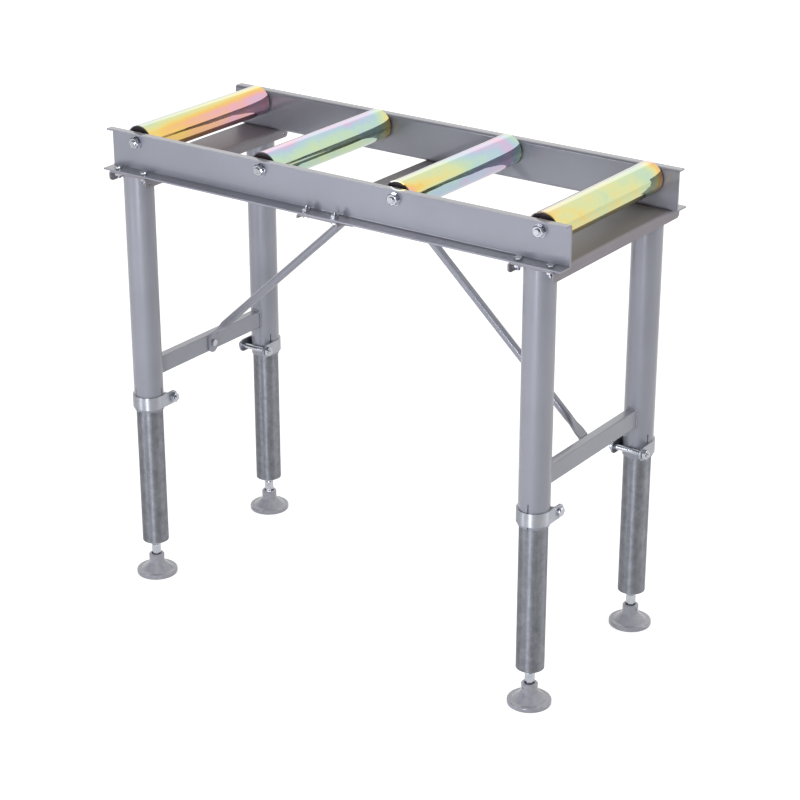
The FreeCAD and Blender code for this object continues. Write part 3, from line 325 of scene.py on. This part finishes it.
def yellow_passivate(centre, start, drift, drain, tip, fray, under, last):
    """Polished tube, bright zinc plated and yellow passivated: a mirror under a thin film.

    The film's thickness sets the tint, which runs from straw through orange, rose, lilac,
    blue and green back to straw. Each tube left the bath differently, so start is the tint
    at its front end and the rest are rounds of tint that it gains: drift along its length,
    drain across to the side that it drained to, under across to the other side, tip over its
    rear tip, and fray in patches of 45 by 80 mm and spots of 12 mm. The share last of drain
    and under is left at the rear end.
    """
    def build(tree, shader, place):
        on_tube = add(tree, "ShaderNodeMapping", {
            "Vector": place, "Location": (-centre.x, -centre.y, -centre.z)}).outputs["Vector"]
        length = add(tree, "ShaderNodeSeparateXYZ", {"Vector": on_tube}).outputs["Y"]
        front, rear = -ROLLER_LENGTH / 2, ROLLER_LENGTH / 2
        stretched = add(tree, "ShaderNodeMapping", {
            "Vector": place, "Scale": (1.0, 0.55, 1.0)}).outputs["Vector"]
        patches = add(tree, "ShaderNodeTexNoise", {
            "Vector": stretched, "Scale": 22.0, "Detail": 2.0, "Distortion": 0.6})
        spots = add(tree, "ShaderNodeTexNoise", {
            "Vector": place, "Scale": 85.0, "Detail": 4.0, "Roughness": 0.6})
        # How far a point lies toward the upper left side, where the tint drifts and where the
        # painted highlight goes
        drained = add(tree, "ShaderNodeVectorMath", {
            0: on_tube, 1: [share / ROLLER_RADIUS for share in DRAIN_AND_HIGHLIGHT_SIDE],
        }, operation="DOT_PRODUCT").outputs["Value"]

        across = add(tree, "ShaderNodeMapRange", {
            "Value": drained, "From Min": -0.1, "From Max": 1.0, "To Min": -0.1 * drain,
            "To Max": drain})
        below = add(tree, "ShaderNodeMapRange", {
            "Value": drained, "From Min": -0.3, "From Max": -0.7, "To Max": under})
        around = add(tree, "ShaderNodeMath", {
            0: across.outputs["Result"], 1: below.outputs["Result"]}, operation="ADD")
        left = add(tree, "ShaderNodeMapRange", {
            "Value": length, "From Min": front, "From Max": rear, "To Min": 1.0,
            "To Max": last})
        along = add(tree, "ShaderNodeMapRange", {
            "Value": length, "From Min": front, "From Max": rear, "To Min": start,
            "To Max": start + drift})
        film = add(tree, "ShaderNodeMath", {
            0: around.outputs[0], 1: left.outputs["Result"], 2: along.outputs["Result"],
        }, operation="MULTIPLY_ADD")
        patched = add(tree, "ShaderNodeMapRange", {
            "Value": patches.outputs["Fac"], "From Min": 0.3, "From Max": 0.7,
            "To Min": -fray, "To Max": fray}, clamp=False)
        ended = add(tree, "ShaderNodeMapRange", {
            "Value": length, "From Min": rear - TIP_LENGTH, "From Max": rear, "To Max": tip,
        }, interpolation_type="SMOOTHSTEP")
        spotted = add(tree, "ShaderNodeMapRange", {
            "Value": spots.outputs["Fac"], "From Min": 0.3, "From Max": 0.7,
            "To Min": -0.45 * fray, "To Max": 0.45 * fray}, clamp=False)
        for gain in (patched, ended, spotted):
            film = add(tree, "ShaderNodeMath", {0: film.outputs[0], 1: gain.outputs["Result"]},
                       operation="ADD")
        film = add(tree, "ShaderNodeMath", {0: film.outputs[0]}, operation="FRACT")
        tint = add(tree, "ShaderNodeValToRGB", {"Fac": film.outputs[0]}, stops=[
            (0.0, "EEDD90"), (1.0, "EEDD90"), (0.09, "F5CF74"), (0.18, "F6BF8A"),
            (0.28, "EFB5BE"), (0.38, "D7BDD9"), (0.49, "B9CFDF"), (0.6, "BEDACE"),
            (0.74, "CBE0B8"), (0.88, "DEE3A8")])
        # Toward the upper left side the tint fades, up to three quarters, into pale lilac: a
        # painted highlight along the tube's top
        painted_top_highlight = add(tree, "ShaderNodeMapRange", {
            "Value": drained, "From Min": 0.45, "From Max": 1.0, "To Max": 0.75})
        colour = add(tree, "ShaderNodeMix", {
            0: painted_top_highlight.outputs["Result"], 6: tint.outputs["Color"], 7: linear("E4D9E2"),
        }, data_type="RGBA")
        tree.links.new(colour.outputs[2], shader.inputs["Base Color"])
        gloss = add(tree, "ShaderNodeMapRange", {
            "Value": spots.outputs["Fac"], "To Min": 0.02, "To Max": 0.08})
        tree.links.new(gloss.outputs["Result"], shader.inputs["Roughness"])
        waves = add(tree, "ShaderNodeTexNoise", {
            "Vector": stretched, "Scale": 30.0, "Detail": 1.0})
        bump = add(tree, "ShaderNodeBump", {
            "Height": waves.outputs["Fac"], "Strength": 0.12, "Distance": 0.001})
        tree.links.new(bump.outputs["Normal"], shader.inputs["Normal"])
        shader.inputs["Metallic"].default_value = 1.0

    return build


FINISHES = {
    "frame_paint": material("grey baked enamel", frame_paint),
    "foot_paint": material("grey enamel on casting", cast_paint),
    "bare_steel": material("bare polished steel tube", drawn_steel),
    "clear_zinc": material("blue-white passivated zinc", bright_zinc),
    "cap_plastic": material("moulded dark polyamide", cap_plastic),
}
LINED_ZINC = material("zinc over lined steel", plated_lines)
# The cross members' enamel carries painted shade: a browner tint for their shaded tops
SHADED_MEMBER_PAINT = material("grey enamel with painted shade", shaded_member_paint)


def dress_nodes():
    """Give each piece of the frame its slot's finish, or its own: straps, members in enamel
    with painted shade, tubes.
    """
    own = {f"{leg}_clamp_strap": LINED_ZINC for leg in LEGS}
    # The cross members take the enamel with painted shade
    own.update({f"{place}_cross_member": SHADED_MEMBER_PAINT for place in ("left", "centre", "right")})
    for number, centre, tints in zip(ROLLERS, ROLLER_CENTRES, FILMS):
        own[f"roller_{number}_tube"] = material(f"yellow passivated tube {number}",
                                                yellow_passivate(centre, **tints))
    for entry in frame["record"]["subparts"]:
        node = entry["node"]
        finish = own.get(node) or FINISHES[entry["material_slot"]]
        NODES[node].data.materials.clear()
        NODES[node].data.materials.append(finish)


def new_tree(name, inputs):
    """An empty geometry tree with named inputs, its group input and its output node."""
    tree = bpy.data.node_groups.new(name, "GeometryNodeTree")
    tree.interface.new_socket("Geometry", in_out="INPUT", socket_type="NodeSocketGeometry")
    for label, kind in inputs:
        tree.interface.new_socket(label, in_out="INPUT", socket_type=kind)
    tree.interface.new_socket("Geometry", in_out="OUTPUT", socket_type="NodeSocketGeometry")
    return tree, add(tree, "NodeGroupInput").outputs, add(tree, "NodeGroupOutput")


def drawn_in(tree, shape, parts, radius, full_radius, height):
    """Draw a cylinder in to a radius at each of its points, and put the point at a height."""
    scale = add(tree, "ShaderNodeMath", {0: radius, 1: full_radius}, operation="DIVIDE")
    flat = add(tree, "ShaderNodeCombineXYZ", {"X": parts["X"], "Y": parts["Y"]})
    inward = add(tree, "ShaderNodeVectorMath", {0: flat.outputs[0], "Scale": scale.outputs[0]},
                 operation="SCALE")
    level = add(tree, "ShaderNodeCombineXYZ", {"Z": height})
    placed = add(tree, "ShaderNodeVectorMath", {0: inward.outputs[0], 1: level.outputs[0]},
                 operation="ADD")
    moved = add(tree, "GeometryNodeSetPosition", {"Geometry": shape,
                                                  "Position": placed.outputs[0]})
    return moved.outputs["Geometry"]


def screw_shank(tree, given, parts, angle):
    """The shank above zero: a cylinder of rings, each moved to where its thread needs it."""
    # Six rings to a thread, and a first ring where the plain shank ends
    threaded = add(tree, "ShaderNodeMath", {0: given["Length"], 1: given["Plain Length"]},
                   operation="SUBTRACT")
    threads = add(tree, "ShaderNodeMath", {0: threaded.outputs[0], 1: given["Pitch"]},
                  operation="DIVIDE")
    rings = add(tree, "ShaderNodeMath", {0: threads.outputs[0], 1: RINGS_TO_A_THREAD},
                operation="MULTIPLY")
    rings = add(tree, "ShaderNodeMath", {0: rings.outputs[0]}, operation="ROUND")
    rings_in_all = add(tree, "ShaderNodeMath", {0: rings.outputs[0], 1: 1.0},
                       operation="ADD").outputs[0]
    segments = add(tree, "FunctionNodeFloatToInt", {"Float": rings_in_all})
    shank = add(tree, "GeometryNodeMeshCylinder", {
        "Vertices": SHANK_SIDES, "Side Segments": segments.outputs[0],
        "Radius": given["Radius"], "Depth": given["Length"]})
    half = add(tree, "ShaderNodeMath", {0: given["Length"], 1: 0.5}, operation="MULTIPLY")
    up = add(tree, "ShaderNodeCombineXYZ", {"Z": half.outputs[0]})
    shank = add(tree, "GeometryNodeTransform", {"Geometry": shank.outputs["Mesh"],
                                                "Translation": up.outputs[0]})

    share = add(tree, "ShaderNodeMath", {0: parts["Z"], 1: given["Length"]},
                operation="DIVIDE")
    ring = add(tree, "ShaderNodeMath", {0: share.outputs[0], 1: rings_in_all},
               operation="MULTIPLY").outputs[0]
    above = add(tree, "ShaderNodeMapRange", {
        "Value": ring, "From Min": 1.0, "From Max": rings_in_all,
        "To Min": given["Plain Length"], "To Max": given["Length"]}, clamp=False)
    off_base = add(tree, "ShaderNodeMath", {0: ring, 1: 0.5}, operation="GREATER_THAN")
    height = add(tree, "ShaderNodeMath", {0: above.outputs["Result"], 1: off_base.outputs[0]},
                 operation="MULTIPLY").outputs[0]

    # How far a point is from the crest, in turns, gives the groove that it lies in
    turned = add(tree, "ShaderNodeMath", {0: angle, 1: 2 * math.pi}, operation="DIVIDE")
    climbed = add(tree, "ShaderNodeMath", {0: height, 1: given["Pitch"]}, operation="DIVIDE")
    phase = add(tree, "ShaderNodeMath", {0: climbed.outputs[0], 1: turned.outputs[0]},
                operation="SUBTRACT")
    phase = add(tree, "ShaderNodeMath", {0: phase.outputs[0]}, operation="FRACT")
    phase = add(tree, "ShaderNodeMath", {0: phase.outputs[0], 1: 0.5}, operation="SUBTRACT")
    phase = add(tree, "ShaderNodeMath", {0: phase.outputs[0]}, operation="ABSOLUTE")
    depth = add(tree, "ShaderNodeMath", {0: given["Pitch"], 1: GROOVE_DEPTH},
                operation="MULTIPLY")
    groove = add(tree, "ShaderNodeMapRange", {
        "Value": phase.outputs[0], "From Min": FLANK_START, "From Max": FLANK_END,
        "To Min": 0.0, "To Max": depth.outputs[0]})
    run_out = add(tree, "ShaderNodeMath", {0: given["Plain Length"], 1: given["Pitch"]},
                  operation="ADD")
    cut_in = add(tree, "ShaderNodeMapRange", {
        "Value": height, "From Min": given["Plain Length"], "From Max": run_out.outputs[0]})
    groove = add(tree, "ShaderNodeMath", {0: groove.outputs["Result"],
                                          1: cut_in.outputs["Result"]}, operation="MULTIPLY")
    crest = add(tree, "ShaderNodeMath", {0: given["Radius"], 1: groove.outputs[0]},
                operation="SUBTRACT")

    # The tip is chamfered at 45 degrees
    tip_radius = add(tree, "ShaderNodeMath", {0: given["Radius"], 1: given["Tip"]},
                     operation="SUBTRACT")
    from_tip = add(tree, "ShaderNodeMath", {0: given["Length"], 1: height},
                   operation="SUBTRACT")
    chamfer = add(tree, "ShaderNodeMath", {0: tip_radius.outputs[0], 1: from_tip.outputs[0]},
                  operation="ADD")
    radius = add(tree, "ShaderNodeMath", {0: crest.outputs[0], 1: chamfer.outputs[0]},
                 operation="MINIMUM")
    return drawn_in(tree, shank.outputs["Geometry"], parts, radius.outputs[0],
                    given["Radius"], height)


def screw_head(tree, given, parts, angle):
    """The head below zero: a hexagon, drawn in by a 30 degree cone at both its faces."""
    rings = add(tree, "ShaderNodeMath", {0: given["Head Height"], 1: HEAD_RING_HEIGHT},
                operation="DIVIDE")
    rings = add(tree, "FunctionNodeFloatToInt", {"Float": rings.outputs[0]})
    flats_half = add(tree, "ShaderNodeMath", {0: given["Head Flats"], 1: 0.5},
                     operation="MULTIPLY").outputs[0]
    head = add(tree, "GeometryNodeMeshCylinder", {
        "Vertices": HEAD_SIDES, "Side Segments": rings.outputs[0], "Radius": flats_half,
        "Depth": given["Head Height"]})
    sunk = add(tree, "ShaderNodeMath", {0: given["Head Height"], 1: -0.5},
               operation="MULTIPLY")
    down = add(tree, "ShaderNodeCombineXYZ", {"Z": sunk.outputs[0]})
    head = add(tree, "GeometryNodeTransform", {"Geometry": head.outputs["Mesh"],
                                               "Translation": down.outputs[0]})
    side = add(tree, "ShaderNodeMath", {0: angle, 1: math.pi / 6}, operation="ADD")
    side = add(tree, "ShaderNodeMath", {0: side.outputs[0], 1: math.pi / 3},
               operation="FLOORED_MODULO")
    side = add(tree, "ShaderNodeMath", {0: side.outputs[0], 1: math.pi / 6},
               operation="SUBTRACT")
    side = add(tree, "ShaderNodeMath", {0: side.outputs[0]}, operation="COSINE")
    hexagon = add(tree, "ShaderNodeMath", {0: flats_half, 1: side.outputs[0]},
                  operation="DIVIDE")
    land = add(tree, "ShaderNodeMath", {0: flats_half, 1: LAND_SHARE}, operation="MULTIPLY")
    rise = add(tree, "ShaderNodeMath", {0: parts["Z"], 1: given["Head Height"]},
               operation="ADD")
    outer = add(tree, "ShaderNodeMath", {0: rise.outputs[0], 1: CONE_SLOPE,
                                         2: land.outputs[0]}, operation="MULTIPLY_ADD")
    inner = add(tree, "ShaderNodeMath", {0: parts["Z"], 1: -CONE_SLOPE, 2: land.outputs[0]},
                operation="MULTIPLY_ADD")
    radius = add(tree, "ShaderNodeMath", {0: hexagon.outputs[0], 1: outer.outputs[0]},
                 operation="MINIMUM")
    radius = add(tree, "ShaderNodeMath", {0: radius.outputs[0], 1: inner.outputs[0]},
                 operation="MINIMUM")
    return drawn_in(tree, head.outputs["Geometry"], parts, radius.outputs[0], flats_half,
                    parts["Z"])


def screw_tree():
    """A screw at every given point, along the point's heading: a hexagon head below zero and
    a shank above it that is plain first and then threaded, with a chamfered tip."""
    tree, given, result = new_tree("screw", [
        ("Length", "NodeSocketFloat"), ("Radius", "NodeSocketFloat"),
        ("Plain Length", "NodeSocketFloat"), ("Pitch", "NodeSocketFloat"),
        ("Tip", "NodeSocketFloat"), ("Head Flats", "NodeSocketFloat"),
        ("Head Height", "NodeSocketFloat"), ("Head", "NodeSocketBool"),
        ("Finish", "NodeSocketMaterial"),
    ])
    position = add(tree, "GeometryNodeInputPosition").outputs["Position"]
    parts = add(tree, "ShaderNodeSeparateXYZ", {"Vector": position}).outputs
    angle = add(tree, "ShaderNodeMath", {0: parts["Y"], 1: parts["X"]},
                operation="ARCTAN2").outputs[0]
    shank = screw_shank(tree, given, parts, angle)
    head = screw_head(tree, given, parts, angle)
    wanted = add(tree, "GeometryNodeSwitch", {"Switch": given["Head"], "True": head})
    whole = add(tree, "GeometryNodeJoinGeometry", {"Geometry": shank})
    tree.links.new(wanted.outputs["Output"], whole.inputs["Geometry"])
    heading = add(tree, "GeometryNodeInputNamedAttribute", {"Name": "heading"},
                  data_type="FLOAT_VECTOR")
    turn = add(tree, "FunctionNodeAlignRotationToVector",
               {"Vector": heading.outputs["Attribute"]}, axis="Z")
    spread = add(tree, "GeometryNodeInstanceOnPoints", {
        "Points": given["Geometry"], "Instance": whole.outputs["Geometry"],
        "Rotation": turn.outputs["Rotation"]})
    real = add(tree, "GeometryNodeRealizeInstances", {"Geometry": spread.outputs["Instances"]})
    finished = add(tree, "GeometryNodeSetMaterial", {"Geometry": real.outputs["Geometry"],
                                                     "Material": given["Finish"]})
    tree.links.new(finished.outputs["Geometry"], result.inputs["Geometry"])
    return tree


def weld_tree():
    """A weld bead along every given line: overlapping ripples, each a rounded drop."""
    tree, given, result = new_tree("weld bead", [
        ("Spacing", "NodeSocketFloat"), ("Bead Radius", "NodeSocketFloat"),
        ("Seed", "NodeSocketInt"), ("Finish", "NodeSocketMaterial"),
    ])
    line = add(tree, "GeometryNodeMeshToCurve", {"Mesh": given["Geometry"]})
    steps = add(tree, "GeometryNodeResampleCurve", {"Curve": line.outputs["Curve"],
                                                    "Length": given["Spacing"]}, mode="LENGTH")
    drop = add(tree, "GeometryNodeMeshUVSphere", {"Segments": 10, "Rings": 6,
                                                  "Radius": given["Bead Radius"]})
    along = add(tree, "GeometryNodeInputTangent")
    turn = add(tree, "FunctionNodeAlignRotationToVector", {"Vector": along.outputs["Tangent"]},
               axis="Z")
    size = add(tree, "FunctionNodeRandomValue", {2: 0.86, 3: 1.12, "Seed": given["Seed"]},
               data_type="FLOAT")
    ripples = add(tree, "GeometryNodeInstanceOnPoints", {
        "Points": steps.outputs["Curve"], "Instance": drop.outputs["Mesh"],
        "Rotation": turn.outputs["Rotation"], "Scale": size.outputs[1]})
    real = add(tree, "GeometryNodeRealizeInstances", {"Geometry": ripples.outputs["Instances"]})
    smooth = add(tree, "GeometryNodeSetShadeSmooth", {"Geometry": real.outputs["Geometry"]})
    finished = add(tree, "GeometryNodeSetMaterial", {"Geometry": smooth.outputs["Geometry"],
                                                     "Material": given["Finish"]})
    tree.links.new(finished.outputs["Geometry"], result.inputs["Geometry"])
    return tree


def settle(piece, body, nodes):
    """Sharpen a piece's edges, and let it ride on its body in place of its nodes."""
    for face in piece.data.polygons:
        face.use_smooth = True
    piece.data.set_sharp_from_angle(angle=math.radians(SHARP_ANGLE))
    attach(piece, body)
    if nodes:
        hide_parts(*nodes)
    return piece


def grow(name, guide, tree, sizes, finish, body, nodes=()):
    """Run a tree on a guide mesh, keep the result as a plain piece, and let it ride."""
    piece = bpy.data.objects.new(name, guide)
    bpy.context.scene.collection.objects.link(piece)
    modifier = piece.modifiers.new("tree", "NODES")
    modifier.node_group = tree
    wanted = dict(sizes, Finish=FINISHES[finish])
    for item in tree.interface.items_tree:
        if item.in_out == "INPUT" and item.name in wanted:
            modifier[item.identifier] = wanted[item.name]
    grown = piece.evaluated_get(bpy.context.evaluated_depsgraph_get())
    shape = bpy.data.meshes.new_from_object(grown)
    piece.modifiers.remove(modifier)
    piece.data = shape
    return settle(piece, body, nodes)


def places(spots):
    """A guide mesh of (place, heading) points."""
    guide = bpy.data.meshes.new("places")
    guide.from_pydata([place for place, heading in spots], [], [])
    headings = guide.attributes.new("heading", "FLOAT_VECTOR", "POINT")
    for number, (place, heading) in enumerate(spots):
        headings.data[number].vector = heading
    return guide


def turn_round(name, profile, spots, finish, body, nodes=()):
    """A solid of revolution from a (radius, height) profile, at every (place, heading)."""
    shape = bmesh.new()
    for place, heading in spots:
        turn = Vector(heading).to_track_quat("Z", "Y")
        rings = []
        for radius, height in profile:
            ring = []
            for step in range(TURNED_SIDES if radius > 0 else 1):
                angle = 2 * math.pi * step / TURNED_SIDES
                spot = Vector((radius * math.cos(angle), radius * math.sin(angle), height))
                ring.append(shape.verts.new(turn @ spot + Vector(place)))
            rings.append(ring)
        for low, high in zip(rings, rings[1:]):
            for step in range(TURNED_SIDES):
                after = (step + 1) % TURNED_SIDES
                corners = [low[step % len(low)], low[after % len(low)],
                           high[after % len(high)], high[step % len(high)]]
                shape.faces.new(list(dict.fromkeys(corners)))
    bmesh.ops.recalc_face_normals(shape, faces=shape.faces)
    mesh = bpy.data.meshes.new(name)
    shape.to_mesh(mesh)
    shape.free()
    mesh.materials.append(FINISHES[finish])
    piece = bpy.data.objects.new(name, mesh)
    bpy.context.scene.collection.objects.link(piece)
    return settle(piece, body, nodes)


def rail_bolts():
    """The bolts through rails and members: the centre member's come from below."""
    bolts = []
    for member, top in ((-LEG_X, True), (0.0, False), (LEG_X, True)):
        level = RAIL_BOTTOM + RAIL_SHEET if top else RAIL_BOTTOM - MEMBER_SHEET
        for side in (-1, 1):
            for across in (-1, 1):
                spot = (member + side * RAIL_BOLT_SPREAD, across * RAIL_BOLT_STANCE, level)
                bolts.append((spot, (0, 0, -1 if top else 1)))
    return bolts


def clamp_head():
    """The profile of a clamp bolt's plain head, with a rounded outer edge."""
    profile = [(0, 0), (CLAMP_HEAD_RADIUS, 0)]
    rounding = CLAMP_HEAD_HEIGHT / 2
    for step in range(DOME_STEPS + 1):
        angle = math.radians(step * 90 / DOME_STEPS)
        profile.append((CLAMP_HEAD_RADIUS - rounding * (1 - math.cos(angle)),
                        -CLAMP_HEAD_HEIGHT + rounding * (1 - math.sin(angle))))
    return profile + [(0, -CLAMP_HEAD_HEIGHT)]


def spindle_neck():
    """The profile of a spindle's neck, from the ball in the foot up to the hexagon."""
    profile = [(0, BALL_LEVEL - BALL_RADIUS)]
    last = math.degrees(math.asin(math.sqrt(BALL_RADIUS ** 2 - NECK_RADIUS ** 2) / BALL_RADIUS))
    for step in range(1, BALL_STEPS + 1):
        angle = math.radians(-90 + (last + 90) * step / BALL_STEPS)
        profile.append((BALL_RADIUS * math.cos(angle),
                        BALL_LEVEL + BALL_RADIUS * math.sin(angle)))
    return profile + [(NECK_RADIUS, HEX_TOP - HEX_LENGTH), (0, HEX_TOP - HEX_LENGTH)]


def add_screws():
    """Every screw with its thread: rail bolts, clamp bolts, axles and foot spindles."""
    tree = screw_tree()
    grow("rail_bolt_screws", places(rail_bolts()), tree, RAIL_BOLT, "clear_zinc", "frame",
         ["rail_bolts"])
    clamps = []
    for side, across, head in LEGS.values():
        spot = (side * LEG_X + head * CLAMP_HEAD_FACE, across * CLAMP_BOLT_Y, CLAMP_LEVEL)
        clamps.append((spot, (-head, 0, 0)))
    grow("clamp_bolt_shanks", places(clamps), tree, CLAMP_BOLT, "clear_zinc", "frame",
         ["clamp_bolts"])
    turn_round("clamp_bolt_heads", clamp_head(), clamps, "clear_zinc", "frame",
               ["clamp_bolts"])
    ends = [((centre.x, 0, centre.z), (0, across, 0))
            for centre in ROLLER_CENTRES for across in (-1, 1)]
    grow("axle_screws", places(ends), tree, AXLE_END, "clear_zinc", "frame",
         [f"roller_axle_{number}" for number in ROLLERS])
    for leg, (side, across, _) in LEGS.items():
        foot = (side * LEG_X, across * LEG_Y)
        screw = grow(f"{leg}_spindle_screw", places([((*foot, HEX_TOP), (0, 0, 1))]), tree,
                     SPINDLE, "clear_zinc", f"{leg}_screw", [f"{leg}_foot_spindle"])
        ball = turn_round(f"{leg}_spindle_neck", spindle_neck(), [((*foot, 0), (0, 0, 1))],
                          "clear_zinc", f"{leg}_screw", [f"{leg}_foot_spindle"])
        for piece in (screw, ball):
            piece.data.materials[0] = LINED_ZINC


def add_welds():
    """Weld beads where the cross members and the crossbars meet the legs."""
    corners, edges = [], []

    def add_seam(line):
        start = len(corners)
        corners.extend(line)
        edges.extend((start + step, start + (step + 1) % len(line))
                     for step in range(len(line)))

    off_leg = LEG_RADIUS + SEAM_OFF
    half_width, half_height = BAR_HALF_WIDTH + SEAM_OFF, BAR_HALF_HEIGHT + SEAM_OFF
    # Half the way round a crossbar, with its corners cut, and then the other half
    outline = [(half_width * share, half_height) for share in (-0.8, -0.4, 0, 0.4, 0.8)]
    outline += [(half_width, half_height * share) for share in (0.85, 0.4, 0, -0.4, -0.85)]
    outline += [(-x, -z) for x, z in outline]
    for side, across, _ in LEGS.values():
        angles = [math.radians(step * 360 / SEAM_STEPS) for step in range(SEAM_STEPS)]
        add_seam([(side * LEG_X + off_leg * math.cos(angle),
                   across * LEG_Y + off_leg * math.sin(angle), LEG_TOP - SEAM_OFF)
                  for angle in angles])
        add_seam([(side * LEG_X + x, across * (LEG_Y - math.sqrt(off_leg ** 2 - x ** 2)),
                   BAR_LEVEL + z) for x, z in outline])
    guide = bpy.data.meshes.new("seams")
    guide.from_pydata(corners, edges, [])
    grow("weld_beads", guide, weld_tree(), BEAD, "frame_paint", "frame")


def add_camera():
    """The camera at the photograph's place and angle."""
    camera = bpy.data.objects.new("camera", bpy.data.cameras.new("camera"))
    camera.data.lens = CAMERA_LENS_MM
    camera.data.sensor_width = SENSOR_MM
    camera.location = CAMERA_PLACE
    camera.rotation_euler = (math.radians(90 - CAMERA_DROP), 0, math.radians(CAMERA_HEADING))
    bpy.context.scene.collection.objects.link(camera)
    bpy.context.scene.camera = camera


def pale_floor(tree, shader, place):
    """Matt pale floor, which glows to the camera so that it looks white, more where the
    softboxes don't reach, and somewhat to metal and gloss."""
    shader.inputs["Base Color"].default_value = linear("BEBEBE")
    shader.inputs["Roughness"].default_value = 0.9
    shader.inputs["Specular IOR Level"].default_value = 0.0
    path = add(tree, "ShaderNodeLightPath").outputs
    away = add(tree, "ShaderNodeVectorMath", {0: place}, operation="LENGTH")
    glow = add(tree, "ShaderNodeMapRange", {
        "Value": away.outputs["Value"], "From Min": GLOW_START, "From Max": GLOW_END,
        "To Min": 0.74, "To Max": 0.9})
    looked = add(tree, "ShaderNodeMath", {
        0: path["Is Glossy Ray"], 1: 0.6, 2: path["Is Camera Ray"]}, operation="MULTIPLY_ADD")
    glow = add(tree, "ShaderNodeMath", {0: glow.outputs["Result"], 1: looked.outputs[0]},
               operation="MULTIPLY")
    tree.links.new(glow.outputs[0], shader.inputs["Emission Strength"])
    shader.inputs["Emission Color"].default_value = linear("FFFFFF")


def add_surround():
    """A surround that is white behind the stand, darker in front of it, as the room behind
    a camera is, and white all round to the camera."""
    world = bpy.data.worlds.new("studio")
    bpy.context.scene.world = world
    world.use_nodes = True
    tree = world.node_tree
    background = next(node for node in tree.nodes if node.type == "BACKGROUND")
    path = add(tree, "ShaderNodeLightPath").outputs
    heading = add(tree, "ShaderNodeSeparateXYZ", {
        "Vector": add(tree, "ShaderNodeTexCoord").outputs["Generated"]})
    lit = add(tree, "ShaderNodeMapRange", {
        "Value": heading.outputs["Y"], "From Min": -0.3, "From Max": 0.15,
        "To Min": 0.15, "To Max": 1.0})
    bright = add(tree, "ShaderNodeMath", {0: path["Is Camera Ray"],
                                          1: lit.outputs["Result"]}, operation="MAXIMUM")
    tree.links.new(bright.outputs[0], background.inputs["Strength"])
    background.inputs["Color"].default_value = linear("FFFFFF")


def add_studio():
    """A pale floor, a surround and five softboxes."""
    bpy.ops.mesh.primitive_plane_add(size=FLOOR_SIZE, location=(0, 0, 0))
    floor = bpy.context.object
    floor.name = "floor"
    floor.data.materials.append(material("pale floor", pale_floor))
    add_surround()
    for name, place, target, size, power, colour in SOFTBOXES:
        lamp = bpy.data.lights.new(name, "AREA")
        lamp.shape = "RECTANGLE"
        lamp.size, lamp.size_y = size
        lamp.energy = power
        lamp.color = linear(colour)[:3]
        softbox = bpy.data.objects.new(name, lamp)
        softbox.location = place
        softbox.rotation_euler = (Vector(target) - Vector(place)).to_track_quat(
            "-Z", "Y").to_euler()
        bpy.context.scene.collection.objects.link(softbox)


bpy.context.scene.view_settings.view_transform = "Standard"
dress_nodes()
add_screws()
add_welds()
add_camera()
add_studio()
